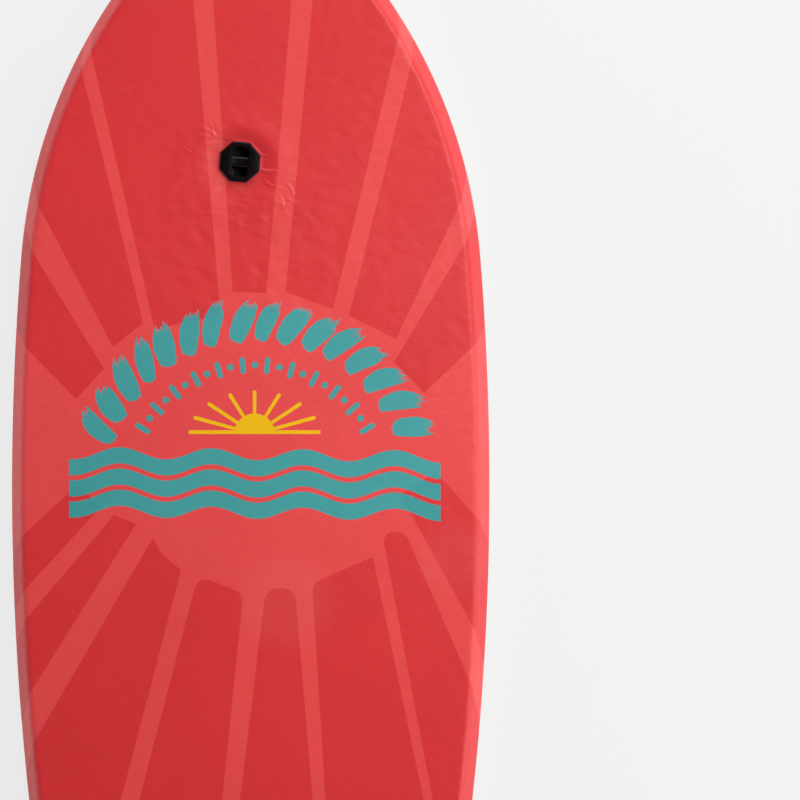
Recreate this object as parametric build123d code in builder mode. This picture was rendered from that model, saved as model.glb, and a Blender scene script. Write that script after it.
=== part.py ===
"""A 37 inch bodyboard: an EPS foam core in a jacket of thin foam sheets, and a leash plug.

The row frame is in millimetres. X runs across the board, +Y points at the nose and +Z is up from
the slick bottom. The origin is on the floor, under the middle of the board.
"""

import os
from math import acos, asin, atan2, cos, degrees, hypot, radians, sin, sqrt

from build123d import *

# --- Driving dimensions -------------------------------------------------------------------------
LENGTH = 940.0
WIDTH = 480.0
THICKNESS = 50.0

# Plan outline, from the nose to the tail: arcs that meet at a tangent.
NOSE_RADIUS = 600.0
NOSE_TURN = 6.0  # degrees that half of the nose arc turns through
NOSE_CORNER_RADIUS = 85.0
SHOULDER_RADIUS = 525.0
SIDE_RADIUS = 2880.0
SIDE_TURN = 4.6  # degrees from the widest point up to the shoulder arc
TAIL_CORNER_RADIUS = 30.0
TAIL_CRESCENT = 22.0  # how far the middle of the tail is cut in

# Side profile: flat, then one arc that lifts the nose.
ROCKER_START = 150.0
ROCKER_RADIUS = 2050.0

# Rail section, measured from the deck, the apex and the bottom edge.
BEVEL_WIDTH = 12.0
BEVEL_DROP = 20.0
APEX_HEIGHT = 2.0
TUCK_WIDTH = 6.0

# The jacket.
SKIN = 3.0
SLICK = 2.0

# Leash plug: an octagonal top half that screws onto a round bottom half. Heights are measured
# square to the deck, from the deck's surface.
PLUG_X = -10.0
PLUG_Y = 247.0
PLUG_TURN = -5.0
FLANGE_FLATS = 40.0
FLANGE_HEIGHT = 3.0
FLANGE_SEAT = 1.5
FLANGE_EDGE = 1.0
SLOT_WIDTH = 16.5
SLOT_RADIUS = 15.0
SLOT_FLOOR = -16.0
BAR_TOP = 2.0
BAR_WIDTH = 11.5
BAR_DEPTH = 7.0
BAR_EDGE = 3.2
BAR_ROOT = 1.0  # how far each end of the bar runs into the cup's wall
CUP_RADIUS = 17.0
CUP_BASE = -18.0
STEM_RADIUS = 9.0
STEM_END = -40.0
SOCKET_RADIUS = 6.0
SOCKET_TOP = -22.0
POST_CLEARANCE = 0.1
POST_TOP = -24.0
HOLE_CLEARANCE = 0.5
DISC_RADIUS = 20.0
DISC_SEAT = 1.0
DISC_PROUD = 1.0
DISC_EDGE = 0.6
COIN_SLOT_LENGTH = 22.0
COIN_SLOT_WIDTH = 2.4
COIN_SLOT_DEPTH = 1.0

# --- Worked out from the driving dimensions -----------------------------------------------------
HALF_LENGTH = LENGTH / 2
HALF_WIDTH = WIDTH / 2
OVERRUN = 60.0  # how far cutting shapes run past the board
TUCK_HEIGHT = THICKNESS - BEVEL_DROP - APEX_HEIGHT
SEAM_HEIGHT = TUCK_HEIGHT + APEX_HEIGHT / 2  # where the deck sheet meets the rail strips


def shoulder_turn() -> float:
    """Angle between the board's length and the tangent where shoulder and nose corner meet."""
    nose_angle = radians(90 - NOSE_TURN)
    side_angle = radians(SIDE_TURN)
    reach = (
        NOSE_RADIUS * cos(nose_angle)
        - NOSE_CORNER_RADIUS * cos(nose_angle)
        + SHOULDER_RADIUS * cos(side_angle)
        + SIDE_RADIUS * (1 - cos(side_angle))
    )
    return degrees(acos((reach - HALF_WIDTH) / (SHOULDER_RADIUS - NOSE_CORNER_RADIUS)))


def widest_y(shoulder: float) -> float:
    """Y of the widest point, found by walking down the arcs from the nose."""
    nose_angle = radians(90 - NOSE_TURN)
    return HALF_LENGTH - (
        NOSE_RADIUS * (1 - sin(nose_angle))
        + NOSE_CORNER_RADIUS * (sin(nose_angle) - sin(radians(shoulder)))
        + SHOULDER_RADIUS * (sin(radians(shoulder)) - sin(radians(SIDE_TURN)))
        + SIDE_RADIUS * sin(radians(SIDE_TURN))
    )


def tail_arcs(widest: float) -> tuple[float, float, float, float]:
    """Where the tail corner's centre is, the side's turn down to it, and the crescent arc."""
    corner_y = TAIL_CORNER_RADIUS - HALF_LENGTH
    inner_radius = SIDE_RADIUS - TAIL_CORNER_RADIUS
    corner_x = sqrt(inner_radius**2 - (corner_y - widest) ** 2) + HALF_WIDTH - SIDE_RADIUS
    side_turn = degrees(atan2(widest - corner_y, corner_x + SIDE_RADIUS - HALF_WIDTH))
    drop = TAIL_CRESCENT - TAIL_CORNER_RADIUS
    radius = (corner_x**2 + drop**2 - TAIL_CORNER_RADIUS**2) / (2 * TAIL_CRESCENT)
    crescent_turn = degrees(asin(corner_x / (radius + TAIL_CORNER_RADIUS)))
    return corner_x, side_turn, radius, crescent_turn


SHOULDER_TURN = shoulder_turn()
WIDEST_Y = widest_y(SHOULDER_TURN)
TAIL_CORNER_X, TAIL_SIDE_TURN, CRESCENT_RADIUS, CRESCENT_TURN = tail_arcs(WIDEST_Y)


def outline(inset: float = 0.0) -> Sketch:
    """The board's plan shape, drawn inwards by inset."""
    with BuildSketch() as plan:
        with BuildLine():
            nose = JernArc((0, HALF_LENGTH), (1, 0), NOSE_RADIUS, -NOSE_TURN)
            corner_turn = 90 - NOSE_TURN - SHOULDER_TURN
            corner = JernArc(nose @ 1, nose % 1, NOSE_CORNER_RADIUS, -corner_turn)
            shoulder = JernArc(corner @ 1, corner % 1, SHOULDER_RADIUS, SIDE_TURN - SHOULDER_TURN)
            side = JernArc(shoulder @ 1, shoulder % 1, SIDE_RADIUS, -SIDE_TURN - TAIL_SIDE_TURN)
            tail_turn = 90 - TAIL_SIDE_TURN + CRESCENT_TURN
            tail_corner = JernArc(side @ 1, side % 1, TAIL_CORNER_RADIUS, -tail_turn)
            JernArc(tail_corner @ 1, tail_corner % 1, CRESCENT_RADIUS, CRESCENT_TURN)
            mirror(about=Plane.YZ)
        make_face()
        if inset:
            offset(amount=-inset)
    return plan.sketch


def layer(bottom: float, top: float) -> Part:
    """A slab between two heights above the slick, wider and longer than the board."""
    tail_y = -HALF_LENGTH - OVERRUN
    arc_turn = degrees(asin((HALF_LENGTH + OVERRUN - ROCKER_START) / ROCKER_RADIUS))
    centre = (ROCKER_START, ROCKER_RADIUS)
    with BuildPart() as slab:
        with BuildSketch(Plane.YZ):
            with BuildLine():
                low = CenterArc(centre, ROCKER_RADIUS - bottom, 270, arc_turn)
                high = CenterArc(centre, ROCKER_RADIUS - top, 270, arc_turn)
                Line(low @ 1, high @ 1)
                Polyline(low @ 0, (tail_y, bottom), (tail_y, top), high @ 0)
            make_face()
        extrude(amount=HALF_WIDTH + OVERRUN, both=True)
    return slab.part


def blank(inset, bottom, top, bevel, tuck) -> Part:
    """A board shape. bevel and tuck are the (width, height) of the cuts along its two edges."""
    with BuildPart() as board:
        add(layer(bottom, top))
        with BuildSketch(Plane.XY.offset(-OVERRUN)):
            add(outline(inset))
        extrude(amount=THICKNESS + 3 * OVERRUN, mode=Mode.INTERSECT)
        deck = board.faces().filter_by(Axis.Z).sort_by(Axis.Z)[-1]
        chamfer(rim_edges(deck), bevel[0], bevel[1], reference=deck)
        base = board.faces().filter_by(Axis.Z).sort_by(Axis.Z)[0]
        chamfer(rim_edges(base), tuck[0], tuck[1], reference=base)
    return board.part


def rim_edges(face: Face) -> ShapeList:
    """The edges of a flat deck or base that lie on the outline, and not across the board."""
    return face.edges().filter_by(Axis.X, reverse=True)


def inner_cut(width: float, height: float, trim: float) -> tuple[float, float]:
    """An edge cut moved inwards by the sheet's thickness, with its height trimmed by trim."""
    slant = hypot(width, height)
    inner_height = height + SKIN * (slant - height) / width - trim
    return inner_height * width / height, inner_height


def deck_plane() -> Plane:
    """The plane on the deck, square to it, that the leash plug is built on."""
    tilt = asin((PLUG_Y - ROCKER_START) / (ROCKER_RADIUS - THICKNESS))
    height = ROCKER_RADIUS - (ROCKER_RADIUS - THICKNESS) * cos(tilt)
    normal = (0, -sin(tilt), cos(tilt))
    square = Plane(origin=(PLUG_X, PLUG_Y, height), x_dir=(1, 0, 0), z_dir=normal)
    return square.rotated((0, 0, PLUG_TURN))


def upright_box(x_span, y_span) -> Part:
    """A tall box over an area of the floor, used to cut the rail strips apart."""
    with BuildPart() as box:
        with BuildSketch(Plane.XY.offset(-OVERRUN)):
            with Locations((x_span[0], y_span[0])):
                Rectangle(
                    x_span[1] - x_span[0],
                    y_span[1] - y_span[0],
                    align=(Align.MIN, Align.MIN),
                )
        extrude(amount=THICKNESS + 3 * OVERRUN)
    return box.part


def round_bar(radius: float, bottom: float, top: float) -> Part:
    """A cylinder on the plug's axis, between two heights from the deck's surface."""
    with BuildPart() as cylinder:
        with BuildSketch(plug_plane.offset(bottom)):
            Circle(radius)
        extrude(amount=top - bottom)
    return cylinder.part


# --- Board shapes that the pieces are cut from --------------------------------------------------
plug_plane = deck_plane()
outer = blank(0, 0, THICKNESS, (BEVEL_WIDTH, BEVEL_DROP), (TUCK_WIDTH, TUCK_HEIGHT))
inner = blank(
    SKIN,
    SLICK,
    THICKNESS - SKIN,
    inner_cut(BEVEL_WIDTH, BEVEL_DROP, SKIN),
    inner_cut(TUCK_WIDTH, TUCK_HEIGHT, SLICK),
)

# The stepped hole through the board, with a shallow seat at each end.
FLANGE_REACH = FLANGE_FLATS / 2 / cos(radians(180 / 8))
with BuildPart() as plug_hole:
    add(round_bar(FLANGE_REACH + HOLE_CLEARANCE, -FLANGE_SEAT, OVERRUN))
    add(round_bar(CUP_RADIUS + HOLE_CLEARANCE, CUP_BASE - HOLE_CLEARANCE, 0))
    add(round_bar(STEM_RADIUS + HOLE_CLEARANCE, -THICKNESS, 0))
    add(round_bar(DISC_RADIUS + HOLE_CLEARANCE, -THICKNESS - OVERRUN, DISC_SEAT - THICKNESS))

# The band around the board's edge, before it is cut into strips.
with BuildPart() as rail_band:
    add(outer)
    add(layer(SLICK, SEAM_HEIGHT), mode=Mode.INTERSECT)
    add(inner, mode=Mode.SUBTRACT)

tail_span = (-HALF_LENGTH - OVERRUN, -HALF_LENGTH + OVERRUN)
tail_area = upright_box((-TAIL_CORNER_X, TAIL_CORNER_X), tail_span)
right_span = (0, HALF_WIDTH + OVERRUN)
right_half = upright_box(right_span, (-HALF_LENGTH - OVERRUN, HALF_LENGTH + OVERRUN))

# --- Foam core ----------------------------------------------------------------------------------
with BuildPart() as foam_core:
    add(inner)
    add(plug_hole.part, mode=Mode.SUBTRACT)
foam_core.part.label = "foam_core"

# --- Deck skin: over the deck and down the bevel, to the seam on the apex ------------------------
with BuildPart() as deck_skin:
    add(outer)
    add(layer(SEAM_HEIGHT, THICKNESS + OVERRUN), mode=Mode.INTERSECT)
    add(inner, mode=Mode.SUBTRACT)
    add(plug_hole.part, mode=Mode.SUBTRACT)
deck_skin.part.label = "deck_skin"

# --- Rail strips: from the seam down to the slick, butted at the nose and the tail ---------------
with BuildPart() as rail_strip_right:
    add(rail_band.part)
    add(right_half, mode=Mode.INTERSECT)
    add(tail_area, mode=Mode.SUBTRACT)
rail_strip_right.part.label = "rail_strip_right"

with BuildPart() as rail_strip_left:
    mirror(rail_strip_right.part, about=Plane.YZ)
rail_strip_left.part.label = "rail_strip_left"

with BuildPart() as tail_strip:
    add(rail_band.part)
    add(tail_area, mode=Mode.INTERSECT)
tail_strip.part.label = "tail_strip"

# --- Bottom slick -------------------------------------------------------------------------------
with BuildPart() as bottom_slick:
    add(outer)
    add(layer(-OVERRUN, SLICK), mode=Mode.INTERSECT)
    add(plug_hole.part, mode=Mode.SUBTRACT)
bottom_slick.part.label = "bottom_slick"

# --- Leash plug, top half: flange, slotted cup with a bar across it, and a socket ----------------
bar_plane = Plane(origin=plug_plane.origin, x_dir=plug_plane.y_dir, z_dir=plug_plane.x_dir)

with BuildPart() as leash_plug_top:
    with BuildSketch(plug_plane.offset(-FLANGE_SEAT)):
        RegularPolygon(FLANGE_FLATS / 2, 8, major_radius=False, rotation=22.5)
    extrude(amount=FLANGE_SEAT + FLANGE_HEIGHT)
    flange_top = leash_plug_top.faces().sort_by(Axis(plug_plane.origin, plug_plane.z_dir))[-1]
    chamfer(flange_top.edges(), FLANGE_EDGE)
    add(round_bar(CUP_RADIUS, CUP_BASE, -FLANGE_SEAT))
    add(round_bar(STEM_RADIUS, STEM_END, CUP_BASE))
    with BuildSketch(plug_plane.offset(SLOT_FLOOR)):
        Circle(SLOT_RADIUS)
        Rectangle(SLOT_WIDTH, 2 * SLOT_RADIUS, mode=Mode.INTERSECT)
    extrude(amount=FLANGE_HEIGHT - SLOT_FLOOR, mode=Mode.SUBTRACT)
    with BuildSketch(bar_plane):
        with Locations((0, BAR_TOP - BAR_DEPTH / 2)):
            RectangleRounded(BAR_WIDTH, BAR_DEPTH, BAR_EDGE)
    extrude(amount=SLOT_WIDTH / 2 + BAR_ROOT, both=True)
    add(round_bar(SOCKET_RADIUS, STEM_END, SOCKET_TOP), mode=Mode.SUBTRACT)
leash_plug_top.part.label = "leash_plug_top"

# --- Leash plug, bottom half: a flat disc with a coin slot, and a post up into the socket --------
with BuildPart() as leash_plug_bottom:
    add(round_bar(DISC_RADIUS, -THICKNESS - DISC_PROUD, DISC_SEAT - THICKNESS))
    disc_base = leash_plug_bottom.faces().sort_by(Axis(plug_plane.origin, plug_plane.z_dir))[0]
    chamfer(disc_base.edges(), DISC_EDGE)
    add(round_bar(SOCKET_RADIUS - POST_CLEARANCE, DISC_SEAT - THICKNESS, POST_TOP))
    with BuildSketch(plug_plane.offset(-THICKNESS - DISC_PROUD)):
        SlotOverall(COIN_SLOT_LENGTH, COIN_SLOT_WIDTH)
    extrude(amount=COIN_SLOT_DEPTH, mode=Mode.SUBTRACT)
leash_plug_bottom.part.label = "leash_plug_bottom"

# --- Files --------------------------------------------------------------------------------------
os.makedirs("parts", exist_ok=True)
export_step(foam_core.part, "parts/foam_core.step")
export_step(deck_skin.part, "parts/deck_skin.step")
export_step(rail_strip_right.part, "parts/rail_strip_right.step")
export_step(rail_strip_left.part, "parts/rail_strip_left.step")
export_step(tail_strip.part, "parts/tail_strip.step")
export_step(bottom_slick.part, "parts/bottom_slick.step")
export_step(leash_plug_top.part, "parts/leash_plug_top.step")
export_step(leash_plug_bottom.part, "parts/leash_plug_bottom.step")
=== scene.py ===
"""Looks of the bodyboard: a printed foam deck skin, rail strips, a slick, and the leash plug.

Shapes are worked out in millimetres and turned into metres when a mesh is made.
"""

import math

import bmesh
import bpy
import numpy as np
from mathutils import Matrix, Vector, geometry, kdtree, noise


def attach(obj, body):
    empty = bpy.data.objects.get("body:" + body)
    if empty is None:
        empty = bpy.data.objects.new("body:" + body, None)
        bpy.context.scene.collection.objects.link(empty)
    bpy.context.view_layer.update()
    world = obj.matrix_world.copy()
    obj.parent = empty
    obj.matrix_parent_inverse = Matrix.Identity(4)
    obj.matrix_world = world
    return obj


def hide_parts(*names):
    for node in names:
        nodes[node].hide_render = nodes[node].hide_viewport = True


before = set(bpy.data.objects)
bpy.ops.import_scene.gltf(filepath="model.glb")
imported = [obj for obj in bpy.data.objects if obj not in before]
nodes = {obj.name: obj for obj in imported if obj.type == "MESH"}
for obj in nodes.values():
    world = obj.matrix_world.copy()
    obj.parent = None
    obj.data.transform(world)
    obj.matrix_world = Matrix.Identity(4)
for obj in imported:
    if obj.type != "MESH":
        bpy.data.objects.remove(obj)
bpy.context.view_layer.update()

MM = 0.001
MIRROR = np.array([-1.0, 1.0])  # turns a point on the right into its twin on the left

# --- The board's shape --------------------------------------------------------------------------
HALF_LENGTH = 470.0
HALF_WIDTH = 240.0
THICKNESS = 50.0
NOSE_RADIUS = 600.0
NOSE_TURN = 6.0
NOSE_CORNER_RADIUS = 85.0
SHOULDER_RADIUS = 525.0
SIDE_RADIUS = 2880.0
SIDE_TURN = 4.6
TAIL_CORNER_RADIUS = 30.0
TAIL_CRESCENT = 22.0
ROCKER_START = 150.0
ROCKER_RADIUS = 2050.0
BEVEL_WIDTH = 12.0
BEVEL_DROP = 20.0
APEX_HEIGHT = 2.0
CREASE_RADIUS = 7.0
TUCK_WIDTH = 6.0
TUCK_HEIGHT = THICKNESS - BEVEL_DROP - APEX_HEIGHT
SEAM_DROP = BEVEL_DROP + APEX_HEIGHT / 2  # from the deck down to where the skin meets the rail strips
SKIN = 3.0
SLICK = 2.0
SEAM_GAP = 0.05
BUTT_GAP = 0.12  # between the rail strips at the nose, and between them and the tail strip

# --- The leash plug's place ---------------------------------------------------------------------
PLUG_X = -10.0
PLUG_Y = 247.0
PLUG_TURN = -5.0
FLANGE_SIDES = 8
FLANGE_SEAT = 1.6
FLANGE_INSET = 19.8  # the skin is pressed flat up to here, under the flange's edge
FLANGE_RISE = 3.5
DIMPLE_RADII = (52.0, 36.0)  # on the tail side and on the nose side
DIMPLE_SWELL = 0.9
SWELL_WIDTH = 13
DIMPLE_FLOOR = 20.0
DECK_HOLE = 18.0
SLICK_HOLE = 20.4
DISC_Y = 249.4  # the rocker leans the plug, so its disc comes out nearer the nose


# --- Outline ------------------------------------------------------------------------------------
def outline_arcs():
    """(radius, turn in degrees) of each arc from the nose to the tail. A right turn is positive."""
    nose = math.radians(90 - NOSE_TURN)
    side = math.radians(SIDE_TURN)
    reach = (NOSE_RADIUS - NOSE_CORNER_RADIUS) * math.cos(nose)
    reach += SHOULDER_RADIUS * math.cos(side) + SIDE_RADIUS * (1 - math.cos(side))
    shoulder = math.acos((reach - HALF_WIDTH) / (SHOULDER_RADIUS - NOSE_CORNER_RADIUS))
    widest = HALF_LENGTH - NOSE_RADIUS * (1 - math.sin(nose))
    widest -= NOSE_CORNER_RADIUS * (math.sin(nose) - math.sin(shoulder))
    widest -= SHOULDER_RADIUS * (math.sin(shoulder) - math.sin(side))
    widest -= SIDE_RADIUS * math.sin(side)
    corner_y = TAIL_CORNER_RADIUS - HALF_LENGTH
    inner = SIDE_RADIUS - TAIL_CORNER_RADIUS
    corner_x = math.sqrt(inner**2 - (corner_y - widest) ** 2) + HALF_WIDTH - SIDE_RADIUS
    tail_side = math.degrees(math.atan2(widest - corner_y, corner_x + SIDE_RADIUS - HALF_WIDTH))
    drop = TAIL_CRESCENT - TAIL_CORNER_RADIUS
    crescent = (corner_x**2 + drop**2 - TAIL_CORNER_RADIUS**2) / (2 * TAIL_CRESCENT)
    crescent_turn = math.degrees(math.asin(corner_x / (crescent + TAIL_CORNER_RADIUS)))
    shoulder = math.degrees(shoulder)
    return [
        (NOSE_RADIUS, NOSE_TURN),
        (NOSE_CORNER_RADIUS, 90 - NOSE_TURN - shoulder),
        (SHOULDER_RADIUS, shoulder - SIDE_TURN),
        (SIDE_RADIUS, SIDE_TURN + tail_side),
        (TAIL_CORNER_RADIUS, 90 - tail_side + crescent_turn),
        (crescent, -crescent_turn),
    ]


def right_half(step):
    """Points, outward normals and curvature along the right half, from the nose to the tail."""
    points, normals, bends = [], [], []
    place, heading = np.array([0.0, HALF_LENGTH]), 0.0
    for radius, turn in outline_arcs():
        sign = 1 if turn > 0 else -1
        span = math.radians(abs(turn))
        count = max(2, math.ceil(radius * span / step))
        left = np.array([-math.sin(heading), math.cos(heading)])
        centre = place - left * radius * sign
        for k in range(count):
            angle = heading - sign * span * k / count
            out = np.array([-math.sin(angle), math.cos(angle)])
            points.append(centre + out * radius * sign)
            normals.append(out)
            bends.append(sign / radius)
        heading -= sign * span
        out = np.array([-math.sin(heading), math.cos(heading)])
        place = centre + out * radius * sign
    points.append(np.array([0.0, place[1]]))
    normals.append(np.array([0.0, -1.0]))
    bends.append(bends[-1])
    return np.array(points), np.array(normals), np.array(bends)


def whole_outline(step):
    """The closed outline, clockwise from the nose."""
    points, normals, bends = right_half(step)
    return (
        np.vstack([points, points[-2:0:-1] * MIRROR]),
        np.vstack([normals, normals[-2:0:-1] * MIRROR]),
        np.concatenate([bends, bends[-2:0:-1]]),
    )


def rocker(y, height):
    """Height above the floor of a layer of the board, over the plan position y."""
    lift = np.clip(y - ROCKER_START, 0, None)
    return ROCKER_RADIUS - np.sqrt((ROCKER_RADIUS - height) ** 2 - lift**2)


# --- Paths with rounded corners -----------------------------------------------------------------
def rounded_path(points, radii, step, closed=False):
    """A dense path through points, with each corner rounded to its radius."""
    points = [np.array(p, float) for p in points]
    count = len(points)
    rounded = []
    for k, corner in enumerate(points):
        if not closed and k in (0, count - 1):
            rounded.append(corner)
            continue
        before, after = points[k - 1], points[(k + 1) % count]
        into = (before - corner) / np.linalg.norm(before - corner)
        away = (after - corner) / np.linalg.norm(after - corner)
        half = math.acos(float(np.clip(into @ away, -1, 1))) / 2
        reach = radii[k] / math.tan(half) if half > 0.01 else 0
        limit = min(np.linalg.norm(before - corner), np.linalg.norm(after - corner)) * 0.49
        reach = min(reach, limit)
        radius = reach * math.tan(half)
        if radius < 0.05:
            rounded.append(corner)
            continue
        middle = corner + (into + away) / np.linalg.norm(into + away) * radius / math.sin(half)
        start, end = corner + into * reach - middle, corner + away * reach - middle
        turn = math.atan2(start[0] * end[1] - start[1] * end[0], start @ end)
        pieces = max(2, math.ceil(abs(turn) * radius / step))
        for j in range(pieces + 1):
            a = turn * j / pieces
            c, s = math.cos(a), math.sin(a)
            rounded.append(middle + np.array([c * start[0] - s * start[1], s * start[0] + c * start[1]]))
    dense = []
    legs = len(rounded) if closed else len(rounded) - 1
    for k in range(legs):
        a, b = rounded[k], rounded[(k + 1) % len(rounded)]
        pieces = max(1, math.ceil(np.linalg.norm(b - a) / step))
        dense += [a + (b - a) * j / pieces for j in range(pieces)]
    if not closed:
        dense.append(rounded[-1])
    return np.array(dense)


# --- The deck skin as a flat sheet that folds over the crease ------------------------------------
class Fold:
    """Lays a flat sheet on the board. Beyond the crease it bends down the bevel to the seam."""

    RUN = 60.0  # how far inside the crease the folded path starts
    FLAT = -55.0  # points further in than this stay where they are
    APEX_EASE = 0.6  # how far above the apex the bevel starts to turn down
    HEM_RISE = 0.4  # the skin's edge turns in under itself this far above the seam
    HEM_TURN = 0.5

    def __init__(self):
        edge, self.out, self.bend = whole_outline(0.6)
        self.crease = edge - self.out * BEVEL_WIDTH
        self.along = np.column_stack([self.out[:, 1], -self.out[:, 0]])
        self.tree = kdtree.KDTree(len(edge))
        for k, p in enumerate(self.crease):
            self.tree.insert((p[0], p[1], 0), k)
        self.tree.balance()
        corners = [
            (-self.RUN, 0),
            (0, 0),
            (BEVEL_WIDTH, BEVEL_DROP - self.APEX_EASE),
            (BEVEL_WIDTH, SEAM_DROP - self.HEM_RISE),
            (BEVEL_WIDTH - self.HEM_TURN, SEAM_DROP - SEAM_GAP),
        ]
        path = rounded_path(corners, [0, CREASE_RADIUS, 2.0, 0.4, 0], 0.25)
        self.walk = np.concatenate([[0], np.cumsum(np.linalg.norm(np.diff(path, axis=0), axis=1))])
        self.walk -= self.RUN
        self.path = path
        slope = np.gradient(path, axis=0)
        slope /= np.linalg.norm(slope, axis=1)[:, None]
        self.face = np.column_stack([slope[:, 1], slope[:, 0]])
        self.edge_width = self.walk[-1]

    def beyond(self, points):
        """Distance past the crease of each sheet point, and the nearest crease sample."""
        near = np.array([self.tree.find((p[0], p[1], 0))[1] for p in points])
        gap = points - self.crease[near]
        return np.einsum("ij,ij->i", gap, self.out[near]), near

    def lift(self, points, depth=0.0):
        """Places of the sheet points in space, depth below the outer surface, and the normals."""
        past, near = self.beyond(points)
        gap = points - self.crease[near]
        side = np.einsum("ij,ij->i", gap, self.along[near])
        reach = np.interp(past, self.walk, self.path[:, 0])
        drop = np.interp(past, self.walk, self.path[:, 1])
        face_out = np.interp(past, self.walk, self.face[:, 0])
        face_up = np.interp(past, self.walk, self.face[:, 1])
        bend = self.bend[near]
        stretch = (1 + bend * reach) / (1 + bend * past)
        flat = past < self.FLAT
        plan = self.crease[near] + self.along[near] * (side * stretch)[:, None]
        plan += self.out[near] * (reach - depth * face_out)[:, None]
        plan[flat] = points[flat]
        drop = np.where(flat, 0, drop)
        face_up = np.where(flat, 1, face_up)
        face_out = np.where(flat, 0, face_out)
        height = rocker(plan[:, 1], THICKNESS - drop - depth * face_up)
        tilt = np.clip(plan[:, 1] - ROCKER_START, 0, None) / (ROCKER_RADIUS - THICKNESS)
        normal = np.column_stack([self.out[near] * face_out[:, None], face_up])
        normal[:, 1] -= tilt * face_up
        normal /= np.linalg.norm(normal, axis=1)[:, None]
        return np.column_stack([plan, height]), normal


fold = Fold()


# --- Print on the deck --------------------------------------------------------------------------
# Each panel is a darker patch between two rays: its corners, and how round each corner is.
FAR = 300.0
PANELS = [
    [(-65.2, 520, 0), (-195.6, 520, 0), (-95.5, 80, 1), (-29.6, 94, 1)],
    [(51.9, 520, 0), (-43.4, 520, 0), (-17.5, 117, 1), (16.4, 116, 1)],
    [(184.1, 520, 0), (73.6, 520, 0), (35.5, 117, 1), (83.1, 99.5, 1)],
    [(FAR, 396, 0), (FAR, 520, 0), (204.8, 520, 0), (99, 93, 1), (146, 70, 1)],
    [(FAR, 136, 0), (FAR, 307, 0), (144.1, 47, 1), (174.1, 16, 1)],
    [(FAR, -358, 0), (162.1, -107, 1), (150.1, -86, 1), (186.1, -63, 1), (FAR, -190, 0)],
    [(FAR, -456, 0), (FAR, -520, 0), (207.2, -520, 0), (131.8, -123, 11), (155, -123, 11)],
    [(200.8, -520, 0), (83.5, -520, 0), (62, -174.5, 12), (122.7, -148, 0.5)],
    [(73.5, -520, 0), (-25.7, -520, 0), (15.8, -179, 14.4), (45, -179, 14.4)],
    [(-41.2, -520, 0), (-144.7, -520, 0), (-52, -166.5, 12), (-6.6, -184.2, 12)],
    [
        (-163, -520, 0),
        (-290, -460, 0),
        (-97.2, -129, 0.5),
        (-91, -141, 12),
        (-83.9, -149, 12),
        (-68.9, -161, 1),
    ],
    [(-FAR, -412, 0), (-FAR, -300, 0), (-136, -106, 2), (-114, -115, 1)],
    [(-FAR, -262, 0), (-FAR, -194, 0), (-173, -76, 1), (-149, -98, 1)],
    [(-FAR, 138, 0), (-174, 10, 1), (-146, 40, 1), (-FAR, 292, 0)],
    [(-212, 520, 0), (-FAR, 520, 0), (-FAR, 372, 0), (-137, 62, 1), (-107, 86, 1)],
]

# Three wavy bands.
WAVE_LENGTH = 91.6
WAVE_SWING = 5.8
WAVE_CREST_X = -38.5
WAVE_TOP = -45.0
WAVE_PITCH = 21.2
WAVE_BAND = 16.2
WAVE_ENDS = (-181.0, 190.6)
WAVE_TILT = 0.010
WAVE_DROOP = 0.8
DROOP_FROM = (-140, 150)
DROOP_RUN = 40

# A rising sun, and two arcs of plain brush marks round it.
SUN = (4.6, -25.0)
SUN_RADIUS = 20.5
SUN_RAYS = 9
RAY_REACH = (66.0, 43.5)
RAY_WIDTH = 3.8
RAY_OVERLAP = 2.0  # how far each ray's root runs into the half disc
RAY_TAPER = 0.85  # width of the root beside the tip's
OUTER_ARC = (5.0, -81.0)
OUTER_SPAN = (148.0, 194.0)
OUTER_ANGLES = (158.0, 22.0)
OUTER_MARKS = 16
INNER_ARC = (5.0, -87.0)
INNER_SPAN = (122.5, 139.5)
INNER_ANGLES = (149.0, 31.0)
INNER_MARKS = 23
STREAKS = 5  # in each brush mark
ROUND_START = 3.5  # how much later the outer streaks start
RAGGED_END = 7  # how much earlier a streak may run out
STREAK_WAVER = 0.5
DOT_RADIUS = 3.4
BAR_HALF_WIDTH = 2.7

rng = np.random.default_rng(11)


def wave_line(x, row):
    """Top edge of a wavy band, and past the last crest at each end it droops."""
    swing = WAVE_SWING * np.cos(2 * math.pi * (x - WAVE_CREST_X) / WAVE_LENGTH)
    left, right = (DROOP_FROM[0] - x) / DROOP_RUN, (x - DROOP_FROM[1]) / DROOP_RUN
    droop = np.clip(right, 0, 1) ** 1.5 + np.clip(left, 0, 1) ** 1.5
    return WAVE_TOP + swing - WAVE_TILT * (x - WAVE_CREST_X) - WAVE_PITCH * row - WAVE_DROOP * droop


def wave_band(row):
    """One wavy band as a closed path."""
    x = np.linspace(*WAVE_ENDS, 181)
    top = np.column_stack([x, wave_line(x, row)])
    base = np.column_stack([x, wave_line(x, row) - WAVE_BAND])[::-1]
    ends = np.linspace(0, 1, 8)[1:-1, None]
    right = top[-1] + (base[0] - top[-1]) * ends
    left = base[-1] + (top[0] - base[-1]) * ends
    return np.vstack([top, right, base, left])


def polar(centre, radius, degrees):
    """The point at a radius and an angle round a centre."""
    a = math.radians(degrees)
    return np.array([centre[0] + radius * math.cos(a), centre[1] + radius * math.sin(a)])


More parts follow.
